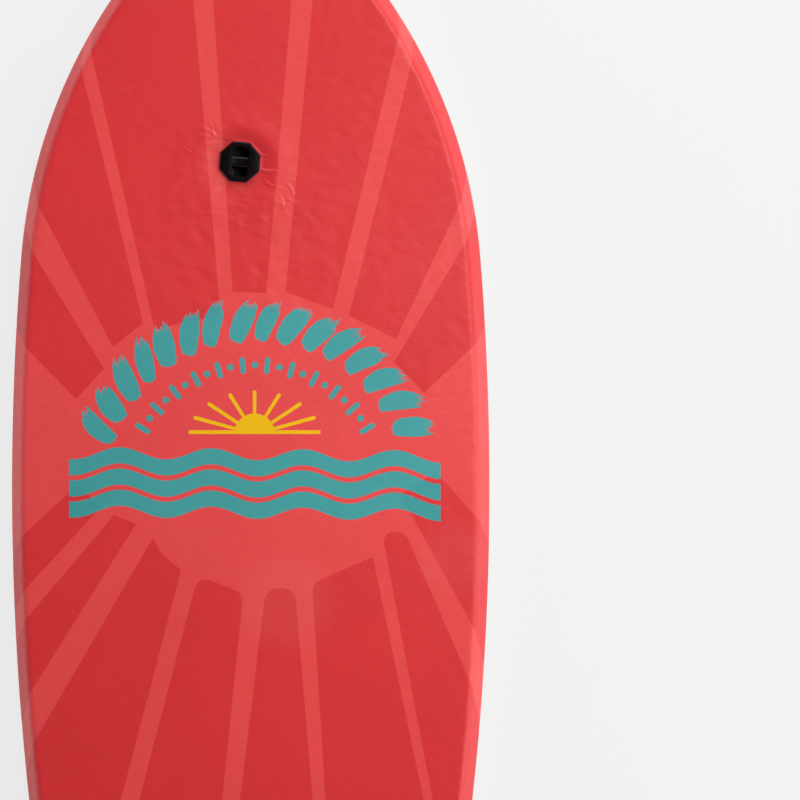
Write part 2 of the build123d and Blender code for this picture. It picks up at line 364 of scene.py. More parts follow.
def sun_shapes():
    """A half disc on a level bar, and rays that reach out to a flattened arch."""
    arc = [polar(SUN, SUN_RADIUS, a) for a in np.linspace(0, 180, 42)]
    chord = [arc[-1] + (arc[0] - arc[-1]) * t for t in np.linspace(0, 1, 22)[1:-1]]
    shapes = [np.array(arc + chord)]
    bar = [(-RAY_REACH[0], 0), (RAY_REACH[0], 0), (RAY_REACH[0], RAY_WIDTH), (-RAY_REACH[0], RAY_WIDTH)]
    shapes.append(rounded_path([np.array(SUN) + corner for corner in bar], [1.2] * 4, 1.8, closed=True))
    for k in range(1, SUN_RAYS - 1):
        a = math.pi * k / (SUN_RAYS - 1)
        tip = np.array([RAY_REACH[0] * math.cos(a), RAY_REACH[1] * math.sin(a)])
        out = tip / np.linalg.norm(tip)
        side = np.array([-out[1], out[0]]) * RAY_WIDTH / 2
        root = out * (SUN_RADIUS - RAY_OVERLAP)
        corners = [root + side * RAY_TAPER, root - side * RAY_TAPER, tip - side, tip + side]
        corners = [np.array(SUN) + corner for corner in corners]
        shapes.append(rounded_path(corners, [0.1, 0.1, 1.2, 1.2], 1.6, closed=True))
    return shapes


def brush_mark(start, end, width, sway, seed):
    """One dab of a flat brush: bristle streaks side by side that run out at different lengths.

    The dab swells in its middle, bows to one side by sway, and its streaks part towards the end.
    """
    run = end - start
    size = np.linalg.norm(run)
    run = run / size
    side = np.array([-run[1], run[0]])
    streaks = []
    for k in range(STREAKS):
        across = (k + 0.5) / STREAKS - 0.5
        early = 0.5 * rng.random() + ROUND_START * abs(across)
        late = size - RAGGED_END * rng.random() * (1 + 1.2 * abs(across))
        t = np.linspace(early, late, max(6, int(size / 2.2)))
        part = t / size
        swell = np.sin(math.pi * np.clip(0.12 + 0.80 * part, 0, 1)) ** 0.55
        bow = sway * np.sin(math.pi * part)
        middle = across * width * swell + bow
        half = width / STREAKS * swell * (0.62 - 0.26 * np.clip((part - 0.6) / 0.4, 0, 1))
        wobble = np.array([noise.noise(Vector((x * 0.22, seed * 7.1 + k * 3.3, 0))) for x in t])
        middle = middle + STREAK_WAVER * wobble
        end_taper = np.clip((late - t) / 5, 0.12, 1) ** 0.7 * np.clip((t - early) / 2.5 + 0.35, 0, 1)
        half = half * end_taper
        upper = start + run * t[:, None] + side * (middle + half)[:, None]
        lower = start + run * t[:, None] + side * (middle - half)[:, None]
        streaks.append(np.vstack([lower, upper[::-1]]))
    return streaks


def outer_marks():
    """An arc of brush dabs, each leaning a little and of its own length."""
    shapes = []
    for k in range(OUTER_MARKS):
        a = OUTER_ANGLES[0] + (OUTER_ANGLES[1] - OUTER_ANGLES[0]) * k / (OUTER_MARKS - 1)
        a += rng.uniform(-0.6, 0.6)
        lean = 6.5 + rng.uniform(-1.5, 1.5)
        short = rng.uniform(0, 6) if k % 3 == 1 else rng.uniform(0, 2)
        start = polar(OUTER_ARC, OUTER_SPAN[0] + rng.uniform(0, 2), a + lean / 2)
        end = polar(OUTER_ARC, OUTER_SPAN[1] - short, a - lean / 2)
        shapes += brush_mark(start, end, rng.uniform(17, 21), rng.uniform(1.5, 4.5), k + 1)
    return shapes


def inner_marks():
    """Short bars and dots by turns."""
    shapes = []
    for k in range(INNER_MARKS):
        a = INNER_ANGLES[0] + (INNER_ANGLES[1] - INNER_ANGLES[0]) * k / (INNER_MARKS - 1)
        if k % 2:
            middle = polar(INNER_ARC, sum(INNER_SPAN) / 2, a)
            shapes.append(np.array([polar(middle, DOT_RADIUS, t) for t in np.linspace(0, 360, 15)[:-1]]))
            continue
        out = polar((0, 0), 1, a)
        side = np.array([-out[1], out[0]]) * BAR_HALF_WIDTH
        low, high = polar(INNER_ARC, INNER_SPAN[0], a), polar(INNER_ARC, INNER_SPAN[1], a)
        corners = [low + side, low - side, high - side, high + side]
        shapes.append(rounded_path(corners, [2.4] * 4, 1.5, closed=True))
    return shapes


def print_shapes():
    """(kind, closed path) of everything printed over the coral ground."""
    shapes = []
    for corners in PANELS:
        path = rounded_path([c[:2] for c in corners], [c[2] for c in corners], 2.4, closed=True)
        shapes.append(("panel", path))
    for row in range(3):
        shapes.append(("teal", wave_band(row)))
    shapes += [("teal", path) for path in outer_marks() + inner_marks()]
    shapes += [("yellow", path) for path in sun_shapes()]
    return shapes


# --- Relief of the deck -------------------------------------------------------------------------
BROAD_RISE = 0.55
CREASE_RISE = 0.24
DENT_RISE = 0.26
PUCKER_RISE = 0.34
PUCKER_REACH = 12.0  # how far to each side of the crease it puckers
PLUG_CRUMPLE = 1.3  # how much stronger the crumple is near the plug, and near the crease
EDGE_CRUMPLE = 0.25

# Short folds pressed into the skin: both ends, half width, height and how far the middle bows.
FOLDS = [
    ((11, 253), (19, 253.5), 1.1, 0.75, 0.3),
    ((11, 238.5), (27, 238), 1.4, 0.95, -0.8),
    ((14, 229.5), (31, 221.5), 1.2, 0.40, -2.5),
    ((22, 236), (24, 224), 1.0, 0.25, 1.0),
    ((-48, 281), (-33, 272), 1.3, 0.45, 1.5),
    ((-52, 274), (-37, 275), 1.1, 0.35, -1.5),
    ((-40, 286), (-36, 270), 1.0, 0.30, 1.2),
    ((-46, 262), (-30, 266), 1.2, 0.25, 1.2),
    ((36, 226), (44, 213), 1.2, 0.35, 1.5),
    ((38, 209), (49, 204), 1.2, 0.30, 1.0),
    ((34, 198), (47, 190), 1.2, 0.30, -1.5),
    ((30, 214), (33, 200), 1.1, 0.25, 1.0),
    ((-22, 203), (-2, 200), 1.5, 0.20, 1.5),
    ((-70, 262), (-58, 255), 1.2, 0.22, 1.0),
    ((150, 348), (163, 348.5), 1.2, 0.40, 0.4),
    ((128, 396), (141, 389), 1.3, 0.28, -1.0),
]


def plug_reach(points):
    """Distance from the plug's centre, measured square to the flange's nearest flat."""
    gap = points - np.array([PLUG_X, PLUG_Y])
    turns = np.radians(PLUG_TURN + 360 / FLANGE_SIDES * np.arange(FLANGE_SIDES))
    flats = np.column_stack([np.cos(turns), np.sin(turns)])
    return (gap @ flats.T).max(axis=1)


def from_plug(points):
    """Distance of each point from the plug's centre."""
    return np.hypot(points[:, 0] - PLUG_X, points[:, 1] - PLUG_Y)


def crumple(x, y, past):
    """Height of the crumple at one sheet point, which lies past millimetres beyond the crease.

    The divisors of x and y are the sizes of the waves. The third value only picks the noise.
    """
    broad = noise.noise(Vector((x / 95, y / 120, 3.1)))
    warp = noise.noise(Vector((x / 26, y / 18, 1.2)))
    crease = noise.noise(Vector((x / 15 + 1.1 * warp, y / 8 + 1.3 * warp, 9.7)))
    dent = noise.noise(Vector((x / 13 + 0.4 * warp, y / 10, 5.5)))
    patch = 0.5 + 0.5 * noise.noise(Vector((x / 60, y / 45, 7.7)))
    near_plug = math.exp(-(((x - PLUG_X) / 110) ** 2) - ((y - PLUG_Y + 60) / 90) ** 2)
    near_edge = math.exp(-((past / 40) ** 2))
    strength = 0.32 + 0.5 * patch + PLUG_CRUMPLE * near_plug + EDGE_CRUMPLE * near_edge
    strength *= 0.5 + 0.5 * min(max((y + 260) / 220, 0), 1)  # half as strong at the tail
    height = BROAD_RISE * broad + strength * (CREASE_RISE * (0.35 - abs(crease)) + DENT_RISE * dent)
    if abs(past) < PUCKER_REACH:
        pucker = noise.noise(Vector((x / 9, y / 7, 2.2)))
        pucker += 0.6 * noise.noise(Vector((x / 4.5, y / 3.8, 8.2)))
        height += PUCKER_RISE * pucker * math.exp(-(((past - 1.0) / 5) ** 2))
    return height


def sink_plug(height, points):
    """The heights with a dimple round the plug, swollen on the nose side, and a seat for the flange."""
    away = from_plug(points)
    nose_side = 0.5 + 0.5 * (points[:, 1] - PLUG_Y + 0.5 * (points[:, 0] - PLUG_X)) / (1.12 * away + 0.01)
    radius = DIMPLE_RADII[0] + (DIMPLE_RADII[1] - DIMPLE_RADII[0]) * nose_side
    dip = np.clip((radius - away) / (radius - DIMPLE_FLOOR), 0, 1)
    height = height + DIMPLE_SWELL * nose_side * np.exp(-(((away - radius) / SWELL_WIDTH) ** 2))
    height -= (FLANGE_SEAT + DIMPLE_SWELL * nose_side) * dip**2 * (3 - 2 * dip)
    reach = plug_reach(points)
    settle = np.clip((reach - FLANGE_INSET) / FLANGE_RISE, 0, 1)
    return height * settle - FLANGE_SEAT * (1 - settle)


def short_fold(points, start, end, half, rise, bow):
    """Height that one short fold adds: a ridge with a trough along one side of it."""
    start, end = np.array(start, float), np.array(end, float)
    run = end - start
    size = np.linalg.norm(run)
    run = run / size
    t = (points - start) @ run / size
    off = (points - start) @ np.array([-run[1], run[0]]) - bow * np.sin(math.pi * np.clip(t, 0, 1))
    ends = np.clip(np.minimum(t, 1 - t) * size / 4 + 0.5, 0, 1)
    ridge = np.exp(-((off / half) ** 2)) - 0.5 * np.exp(-(((off - 2 * half) / half) ** 2))
    return rise * ridge * ends**2


def deck_relief(points, past):
    """Height of the sheet above its smooth surface at each flat point."""
    height = np.array([crumple(x, y, far) for (x, y), far in zip(points, past)])
    height = sink_plug(height, points)
    for start, end, half, rise, bow in FOLDS:
        height += short_fold(points, start, end, half, rise, bow)
    return height


# --- Meshes -------------------------------------------------------------------------------------
SHEET_SHARP = 50.0  # an edge that turns by more degrees than this is shaded sharp
PLUG_SHARP = 32.0
BEVEL_FROM = 28.0  # the plug's edges that turn by more degrees than this are rounded
CDT_GAP = 1e-5  # points nearer than this are joined


def make_piece(name, verts, faces, materials, swap, face_materials=None):
    """A closed mesh that takes the place of one CAD piece, with its faces turned outwards."""
    mesh = bpy.data.meshes.new(name)
    mesh.from_pydata([tuple(v) for v in np.asarray(verts) * MM], [], [list(map(int, f)) for f in faces])
    mesh.update()
    for material in materials:
        mesh.materials.append(material)
    if face_materials is not None:
        mesh.polygons.foreach_set("material_index", np.asarray(face_materials, dtype=np.int32))
    work = bmesh.new()
    work.from_mesh(mesh)
    bmesh.ops.recalc_face_normals(work, faces=work.faces)
    work.to_mesh(mesh)
    work.free()
    mesh.polygons.foreach_set("use_smooth", [True] * len(mesh.polygons))
    mesh.set_sharp_from_angle(angle=math.radians(SHEET_SHARP))
    piece = bpy.data.objects.new(name, mesh)
    bpy.context.scene.collection.objects.link(piece)
    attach(piece, "root")
    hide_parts(swap)
    return piece


def hex_grid(low, high, step):
    """Points of a triangular grid over a rectangle."""
    rows = np.arange(low[1], high[1], step * math.sqrt(3) / 2)
    points = []
    for k, y in enumerate(rows):
        x = np.arange(low[0] + (step / 2 if k % 2 else 0), high[0], step)
        points.append(np.column_stack([x, np.full(len(x), y)]))
    return np.vstack(points)


def far_from(points, paths, gap):
    """Those points that are at least gap from every vertex of the paths."""
    marks = np.vstack(paths)
    tree = kdtree.KDTree(len(marks))
    for k, p in enumerate(marks):
        tree.insert((p[0], p[1], 0), k)
    tree.balance()
    keep = [tree.find((p[0], p[1], 0))[2] > gap for p in points]
    return points[np.array(keep)]


def circle(x, y, radius, count):
    """A closed ring of points."""
    turns = np.linspace(0, 2 * math.pi, count + 1)[:-1]
    return np.column_stack([x + radius * np.cos(turns), y + radius * np.sin(turns)])


def triangulate(loose, paths):
    """Triangles with every path's edges kept, the paths that hold each, and each point's origin."""
    verts, faces = [Vector(p) for p in loose], []
    for path in paths:
        ids = list(range(len(verts), len(verts) + len(path)))
        after = np.roll(path, -1, axis=0)
        area = np.sum(path[:, 0] * after[:, 1] - path[:, 1] * after[:, 0])
        faces.append(ids if area > 0 else ids[::-1])
        verts += [Vector(p) for p in path]
    found, _, faces, origins, _, owners = geometry.delaunay_2d_cdt(verts, [], faces, 1, CDT_GAP)
    points = np.array([tuple(v) for v in found])
    return points, faces, owners, [ids[0] if ids else -1 for ids in origins]


def boundary_edges(faces):
    """Directed edges that belong to one face only."""
    single = {}
    for face in faces:
        for a, b in zip(face, face[1:] + face[:1]):
            if (b, a) in single:
                del single[(b, a)]
            else:
                single[(a, b)] = True
    return list(single)


# Grids of the deck skin: half width and half length, and the spacing of the points.
GRID_REACH = np.array([275.0, 500.0])
COARSE_STEP = 2.7
FINE_STEP = 1.35  # round the plug
FINE_RADIUS = 64.0
INNER_STEP = 16
OUTLINE_STEP = 2.4
CREASE_ROWS = (-2.6, -1.3, 0.0, 1.3, 2.6)
BRIM_ROWS = (2.6, 1.4, 0.7)  # in from the seam
INNER_ROWS = (-4.0, 0.0, 4.0)
CALM_WIDTH = 6  # the relief fades out over this far from the seam
POINT_GAP = 1.3  # least gap between a grid point and a printed edge
ROW_GAP = 1.2
HOLE_POINTS = 96
INK_ORDER = ["ground", "panel", "teal", "teal_over_panel", "yellow"]


def outer_grid(crease, out, border, hole, shapes):
    """Points of the outer face, finer round the plug, with rows of points along crease and seam."""
    coarse = hex_grid(-GRID_REACH, GRID_REACH, COARSE_STEP)
    coarse = coarse[from_plug(coarse) > FINE_RADIUS]
    plug = np.array([PLUG_X, PLUG_Y])
    fine = hex_grid(plug - FINE_RADIUS - 2, plug + FINE_RADIUS + 2, FINE_STEP)
    away = from_plug(fine)
    fine = fine[(away <= FINE_RADIUS) & (away > DECK_HOLE + 0.8)]
    grid = np.vstack([coarse, fine])
    past, _ = fold.beyond(grid)
    grid = grid[past < fold.edge_width - 1.0]
    reaches = [*CREASE_ROWS, *(fold.edge_width - inset for inset in BRIM_ROWS)]
    rows = [crease + out * reach for reach in reaches]
    grid = far_from(grid, [border, hole] + rows, ROW_GAP)
    return far_from(np.vstack([grid] + rows), shapes, POINT_GAP)


def ink_of(held):
    """The ink that a face shows, from the kinds of the paths that hold it. None is off the sheet."""
    if "ground" not in held or "hole" in held:
        return None
    if "yellow" in held:
        return "yellow"
    if "teal" in held:
        return "teal_over_panel" if "panel" in held else "teal"
    return "panel" if "panel" in held else "ground"


def printed_face(crease, out):
    """The outer face laid flat: its points, its triangles and the ink slot of each triangle."""
    border = crease + out * fold.edge_width
    hole = circle(PLUG_X, PLUG_Y, DECK_HOLE, HOLE_POINTS)
    shapes = print_shapes()
    printed = [path for _, path in shapes]
    kinds = ["ground", "hole"] + [kind for kind, _ in shapes]
    grid = outer_grid(crease, out, border, hole, printed)
    points, faces, owners, _ = triangulate(grid, [border, hole] + printed)
    top, slots = [], []
    for face, owner in zip(faces, owners):
        kind = ink_of({kinds[k] for k in owner})
        if kind:
            top.append(list(face))
            slots.append(INK_ORDER.index(kind))
    used = sorted({k for face in top for k in face})
    index = {k: j for j, k in enumerate(used)}
    return points[used], [[index[k] for k in face] for face in top], slots


def inner_face(points, rim, rows):
    """The plain inner face laid flat: its points, its triangles and the twin of each rim point."""
    rim_ids = sorted({k for pair in rim for k in pair})
    place_in_rim = {k: j for j, k in enumerate(rim_ids)}
    edges = [(place_in_rim[a], place_in_rim[b]) for a, b in rim]
    loose = hex_grid(-GRID_REACH, GRID_REACH, INNER_STEP)
    past, _ = fold.beyond(loose)
    loose = far_from(loose[past < fold.edge_width - 6], [points[rim_ids]], 7)
    loose = far_from(loose, rows, 5)
    flat = np.vstack([points[rim_ids], loose] + [row[::3] for row in rows])
    found, _, faces, origins, _, _ = geometry.delaunay_2d_cdt(
        [Vector(p) for p in flat], edges, [], 0, CDT_GAP
    )
    under = np.array([tuple(v) for v in found])
    origin = [ids[0] if ids else -1 for ids in origins]
    middle = np.array([under[list(face)].mean(axis=0) for face in faces])
    past, _ = fold.beyond(middle)
    clear = (from_plug(middle) > DECK_HOLE - 0.05) & (past < fold.edge_width - 0.002)
    # A face that runs along a rim edge the other way lies outside the rim.
    turned = {(b, a) for a, b in edges}
    kept = []
    for face, is_clear in zip(faces, clear):
        sides = {(origin[a], origin[b]) for a, b in zip(face, face[1:] + face[:1])}
        if is_clear and not sides & turned:
            kept.append(list(face)[::-1])
    twin = {rim_ids[j]: k for k, j in enumerate(origin) if 0 <= j < len(rim_ids)}
    return under, kept, twin


def deck_skin(inks):
    """The printed skin: a finely meshed outer face, a plain inner face, and the edges between."""
    edge, out, _ = whole_outline(OUTLINE_STEP)
    crease = edge - out * BEVEL_WIDTH
    points, top, slots = printed_face(crease, out)
    place, normal = fold.lift(points)
    past, _ = fold.beyond(points)
    calm = np.clip((fold.edge_width - past) / CALM_WIDTH, 0, 1)
    place += normal * (deck_relief(points, past) * calm)[:, None]

    rim = boundary_edges(top)
    under, inner, twin = inner_face(points, rim, [crease + out * reach for reach in INNER_ROWS])
    under_place, _ = fold.lift(under, SKIN)
    base = len(points)
    inner = [[base + k for k in face] for face in inner]
    walls = [[b, a, base + twin[a], base + twin[b]] for a, b in rim]
    verts = np.vstack([place, under_place])
    slots += [0] * (len(inner) + len(walls))
    return make_piece("deck_foam_skin", verts, top + inner + walls, inks, "deck_skin", slots)


SIDE_STEP = 3.0  # spacing of the outline's points for the strips and the slick
STRIP_WAVER = 0.10


def swept(name, rows, section, materials, swap, gap):
    """A solid strip: a closed section of (offset, height) carried along rows of the outline.

    Its first ring moves by gap along X and its last ring by as much the other way.
    """
    points, normals = rows
    rings = []
    for p, n in zip(points, normals):
        plan = p + np.outer(section[:, 0], n)
        rings.append(np.column_stack([plan, rocker(plan[:, 1], section[:, 1])]))
    rings[0][:, 0] += gap
    rings[-1][:, 0] -= gap
    count = len(section)
    verts = np.vstack(rings)
    for k in range(len(verts)):
        x, y, z = verts[k]
        across = normals[k // count]
        verts[k, :2] += across * STRIP_WAVER * noise.noise(Vector((x / 17, y / 17, z / 6)))
    faces = []
    for r in range(len(rings) - 1):
        for k in range(count):
            a, b = r * count + k, r * count + (k + 1) % count
            faces.append([a, b, b + count, a + count])
    faces.append(list(range(count)))
    faces.append([len(verts) - 1 - k for k in range(count)])
    return make_piece(name, verts, faces, materials, swap)


def rail_strips(material):
    """The two rail strips, butted at the nose, and the tail strip between them."""
    points, normals, _ = right_half(SIDE_STEP)
    turn = int(np.argmin(points[:, 1]))
    low = -TUCK_WIDTH * (TUCK_HEIGHT - SLICK) / TUCK_HEIGHT
    top = THICKNESS - SEAM_DROP - SEAM_GAP
    base = SLICK + SEAM_GAP
    corners = [(-SKIN, top), (0, top), (0, TUCK_HEIGHT), (low, base), (low - SKIN, base)]
    section = rounded_path(corners, [0, 0.6, 2.0, 0.5, 0], 2.2, closed=True)
    right = points[: turn + 1], normals[: turn + 1]
    left = points[: turn + 1] * MIRROR, normals[: turn + 1] * MIRROR
    tail = (
        np.vstack([points[turn:], points[turn:-1][::-1] * MIRROR]),
        np.vstack([normals[turn:], normals[turn:-1][::-1] * MIRROR]),
    )
    strips = [
        swept("rail_foam_right", right, section, [material], "rail_strip_right", BUTT_GAP),
        swept("rail_foam_left", left, section, [material], "rail_strip_left", -BUTT_GAP),
        swept("tail_foam", tail, section, [material], "tail_strip", -BUTT_GAP),
    ]


SLICK_TOP = SLICK - SEAM_GAP
# The slick's rounded edge: how far each ring lies from the outline, and its height.
SLICK_EDGE = [
    (-7.4, 0.0),
    (-6.7, 0.06),
    (-6.2, 0.35),
    (-5.9, 1.0),
    (-5.7, 1.8),
    (-6.0, SLICK_TOP),
    (-7.4, SLICK_TOP),
]
SLICK_REACH = np.array([245.0, 475.0])
SLICK_STEP = 9
SLICK_MARGIN = 13.0  # from the outline in to the first points of the grid
DISC_MARGIN = 26.0
SLICK_HOLE_POINTS = 72


def slick_sheet(material):
    """The bottom sheet: rounded edge, following the rocker, with a hole for the plug's disc."""
    edge, out, _ = whole_outline(SIDE_STEP)
    rings = [(edge + out * offset, height) for offset, height in SLICK_EDGE]
    hole = circle(PLUG_X, DISC_Y, SLICK_HOLE, SLICK_HOLE_POINTS)
    grid = hex_grid(-SLICK_REACH, SLICK_REACH, SLICK_STEP)
    past, _ = fold.beyond(grid)
    from_disc = np.hypot(grid[:, 0] - PLUG_X, grid[:, 1] - DISC_Y)
    grid = grid[(past < BEVEL_WIDTH - SLICK_MARGIN) & (from_disc > DISC_MARGIN)]
    verts, faces, starts = [], [], []
    for ring, height in rings:
        starts.append(len(verts))
        verts += [(p[0], p[1], height) for p in ring]
    size = len(edge)
    for a, b in zip(starts, starts[1:]):
        for k in range(size):
            m = (k + 1) % size
            faces.append([a + k, a + m, b + m, b + k])
    holes = []
    for (ring, height), start in ((rings[0], starts[0]), (rings[-1], starts[-1])):
        _, found, owners, origin = triangulate(grid, [ring, hole])
        base = len(verts)
        verts += [(p[0], p[1], height) for p in grid]
        holes.append(len(verts))
        verts += [(p[0], p[1], height) for p in hole]
        ids = list(range(base, base + len(grid)))
        ids += range(start, start + size)
        ids += range(holes[-1], holes[-1] + len(hole))
        in_ring_only = [face for face, owner in zip(found, owners) if list(owner) == [0]]
        faces += [[ids[origin[k]] for k in face] for face in in_ring_only]
    for k in range(len(hole)):
        m = (k + 1) % len(hole)
        faces.append([holes[0] + k, holes[0] + m, holes[1] + m, holes[1] + k])
    verts = np.array(verts)
    verts[:, 2] = rocker(verts[:, 1], verts[:, 2])
    sheet = make_piece("slick_sheet", verts, faces, [material], "bottom_slick")


def softened(node, name, width, material):
    """A copy of a CAD piece with its sharp edges rounded."""
    mesh = nodes[node].data.copy()
    mesh.materials.clear()
    mesh.materials.append(material)
    work = bmesh.new()
    work.from_mesh(mesh)
    bmesh.ops.remove_doubles(work, verts=work.verts, dist=1e-6)
    bmesh.ops.dissolve_limit(work, angle_limit=math.radians(1), verts=work.verts, edges=work.edges)
    turn = math.radians(BEVEL_FROM)
    sharp = [e for e in work.edges if len(e.link_faces) == 2 and e.calc_face_angle() > turn]
    bmesh.ops.bevel(
        work, geom=sharp, offset=width * MM, segments=3, profile=0.5, affect="EDGES", clamp_overlap=True
    )
    bmesh.ops.triangulate(work, faces=[f for f in work.faces if len(f.verts) > 4])
    work.to_mesh(mesh)
    work.free()
    mesh.polygons.foreach_set("use_smooth", [True] * len(mesh.polygons))
    piece = bpy.data.objects.new(name, mesh)
    bpy.context.scene.collection.objects.link(piece)
    mesh.set_sharp_from_angle(angle=math.radians(PLUG_SHARP))
    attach(piece, "root")
    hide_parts(node)


# --- Materials ----------------------------------------------------------------------------------
class Shader:
    """A small helper that adds and joins shader nodes."""

    def __init__(self, name):
        self.material = bpy.data.materials.new(name)
        self.material.use_nodes = True
        self.tree = self.material.node_tree
        self.surface = self.tree.nodes["Principled BSDF"]
        self.place = self.add("ShaderNodeTexCoord").outputs["Object"]

    def add(self, kind, inputs=None, **settings):
        """A new node, with each input either joined to a socket or set to a value."""
        node = self.tree.nodes.new(kind)
        for key, value in settings.items():
            setattr(node, key, value)
        for key, value in (inputs or {}).items():
            if isinstance(value, bpy.types.NodeSocket):
                self.tree.links.new(value, node.inputs[key])
            else:
                node.inputs[key].default_value = value
        return node

    def noise(self, size, detail=3.0, rough=0.5, distortion=0.0):
        """Noise of about the given size in millimetres along X, Y and Z."""
        scale = [1 / (s * MM) for s in size]
        mapping = self.add("ShaderNodeMapping", {"Vector": self.place, "Scale": scale})
        inputs = {
            "Vector": mapping.outputs[0],
            "Scale": 1.0,
            "Detail": detail,
            "Roughness": rough,
            "Distortion": distortion,
        }
        return self.add("ShaderNodeTexNoise", inputs).outputs["Fac"]

    def remap(self, value, low, high, to_low, to_high, smooth=False):
        """The value stretched from one range to another, and held at its ends."""
        inputs = {"Value": value, 1: low, 2: high, 3: to_low, 4: to_high}
        kind = "SMOOTHSTEP" if smooth else "LINEAR"
        return self.add("ShaderNodeMapRange", inputs, interpolation_type=kind).outputs[0]

    def math(self, how, a, b=0.0):
        return self.add("ShaderNodeMath", {0: a, 1: b}, operation=how).outputs[0]

    def mix(self, factor, a, b, blend="MIX"):
        inputs = {0: factor, 6: a, 7: b}
        node = self.add("ShaderNodeMix", inputs, data_type="RGBA", blend_type=blend)
        return node.outputs[2]

    def bump(self, height, distance, strength=1.0, normal=None):
        inputs = {"Height": height, "Distance": distance, "Strength": strength}
        if normal is not None:
            inputs["Normal"] = normal
        return self.add("ShaderNodeBump", inputs).outputs[0]

    def wire(self, socket, value):
        """Joins a socket to an input of the surface, or sets that input."""
        if isinstance(value, bpy.types.NodeSocket):
            self.tree.links.new(value, self.surface.inputs[socket])
        else:
            self.surface.inputs[socket].default_value = value


def shade(colour, factor):
    """The colour made paler or darker, with full alpha."""
    return [min(1.0, c * factor) for c in colour] + [1.0]


# Faint round patches of paler print: centre, radius, in millimetres.
HAZES = [((36, -192), 62), ((205, -150), 46)]
HAZE_COLOUR = (0.95, 0.55, 0.50, 1.0)


HAZE_LEVEL = 0.03
CORAL_SPECK = (0.80, 0.62, 0.58, 1.0)
TEAL_SPECK = (0.35, 0.52, 0.50, 1.0)
YELLOW_SPECK = (0.90, 0.75, 0.40, 1.0)


def ink(name, colour, speck, haze=0.0, coat=0.5):
    """Printed foam film: mottled colour, a fine stretched crinkle whose ripples also carry painted shade,
    and a few pale specks.
    """
    s = Shader(name)
    broad = s.noise((120, 90, 120), 3.0)
    grain = s.noise((1.3, 0.9, 1.3), 2.0)
    crinkle_and_shade = s.noise((12, 7, 12), 1.5, 0.5, 1.0)
    tone = s.mix(s.remap(broad, 0.3, 0.7, 0, 1), shade(colour, 0.965), shade(colour, 1.035))
    # Painted shade: the colour is darkened along the crinkle's ripples, as though light fell across them.
    tone = s.mix(s.remap(crinkle_and_shade, 0.3, 0.7, 0.0, 0.10), tone, shade(colour, 0.80))
    tone = s.mix(s.remap(grain, 0.35, 0.7, 0.0, 0.12), tone, shade([c + 0.03 for c in colour], 1.12))
    for (x, y), radius in HAZES if haze else []:
        centre = (x * MM, y * MM, THICKNESS * MM)
        offset = s.add("ShaderNodeVectorMath", {0: s.place, 1: centre}, operation="DISTANCE")
        near = s.remap(offset.outputs["Value"], 0.45 * radius * MM, radius * MM, haze, 0.0, True)
        tone = s.mix(near, tone, HAZE_COLOUR)
    cells = s.add("ShaderNodeTexVoronoi", {"Vector": s.place, "Scale": 95.0, "Randomness": 1.0})
    spot = s.remap(cells.outputs["Distance"], 0.020, 0.036, 1.0, 0.0)
    pick = s.add("ShaderNodeSeparateColor", {"Color": cells.outputs["Color"]}).outputs[0]
    rare = s.remap(pick, 0.975, 0.98, 0.0, 0.75)
    tone = s.mix(s.math("MULTIPLY", spot, rare), tone, speck)
    s.wire("Base Color", tone)
    s.wire("Roughness", s.remap(crinkle_and_shade, 0.3, 0.7, 0.38, 0.48))
    s.wire("IOR", 1.45)
    s.wire("Specular IOR Level", 0.25)
    s.wire("Coat Weight", coat)
    s.wire("Coat Roughness", 0.34)
    ripple = s.bump(crinkle_and_shade, 0.0005, 0.38)
    face = s.bump(grain, 0.00008, 0.4, ripple)
    s.wire("Normal", face)
    s.wire("Coat Normal", face)
    return s.material


def strip_foam(name, colour):
    """Closed-cell foam strip: fine pores and a slightly uneven face."""
    s = Shader(name)
    pores = s.noise((1.1, 1.1, 1.1), 3.0, 0.6)
    broad = s.noise((60, 60, 30), 3.0)
    tone = s.mix(s.remap(broad, 0.3, 0.7, 0, 1), shade(colour, 0.92), shade(colour, 1.08))
    tone = s.mix(s.remap(pores, 0.4, 0.75, 0.0, 0.3), tone, shade([c + 0.05 for c in colour], 1.1))
    s.wire("Base Color", tone)
    s.wire("Roughness", s.remap(pores, 0.3, 0.7, 0.50, 0.64))
    s.wire("Normal", s.bump(pores, 0.0001, 0.5, s.bump(broad, 0.0006, 0.4)))
    return s.material


def slick_plastic():
    """Smooth sheet with long faint scuffs and a slight waviness."""
    s = Shader("slick_sheet_plastic")
    colour = (0.78, 0.80, 0.79)
    waves = s.noise((55, 80, 55), 2.0)
    scuffs = s.noise((1.6, 60, 4), 4.0, 0.65)
    grain = s.noise((0.9, 0.9, 0.9), 2.0)
    tone = s.mix(s.remap(waves, 0.3, 0.7, 0, 1), shade(colour, 0.97), shade(colour, 1.02))
    tone = s.mix(s.remap(scuffs, 0.55, 0.75, 0.0, 0.22), tone, shade(colour, 0.80))
    s.wire("Base Color", tone)
    s.wire("Roughness", s.remap(scuffs, 0.3, 0.75, 0.26, 0.42))
    s.wire("Normal", s.bump(grain, 0.00004, 0.3, s.bump(waves, 0.0007, 0.5)))
    return s.material


def bead_foam():
    """Moulded beads of expanded polystyrene."""
    s = Shader("core_bead_foam")
    cells = s.add("ShaderNodeTexVoronoi", {"Vector": s.place, "Scale": 260.0}, feature="DISTANCE_TO_EDGE")
    seam = s.remap(cells.outputs["Distance"], 0.0, 0.12, 0.0, 1.0)
    s.wire("Base Color", s.mix(seam, (0.66, 0.66, 0.64, 1), (0.88, 0.88, 0.86, 1)))
    s.wire("Roughness", s.remap(seam, 0, 1, 0.8, 0.6))
    s.wire("Normal", s.bump(seam, 0.0005, 0.8))
    return s.material


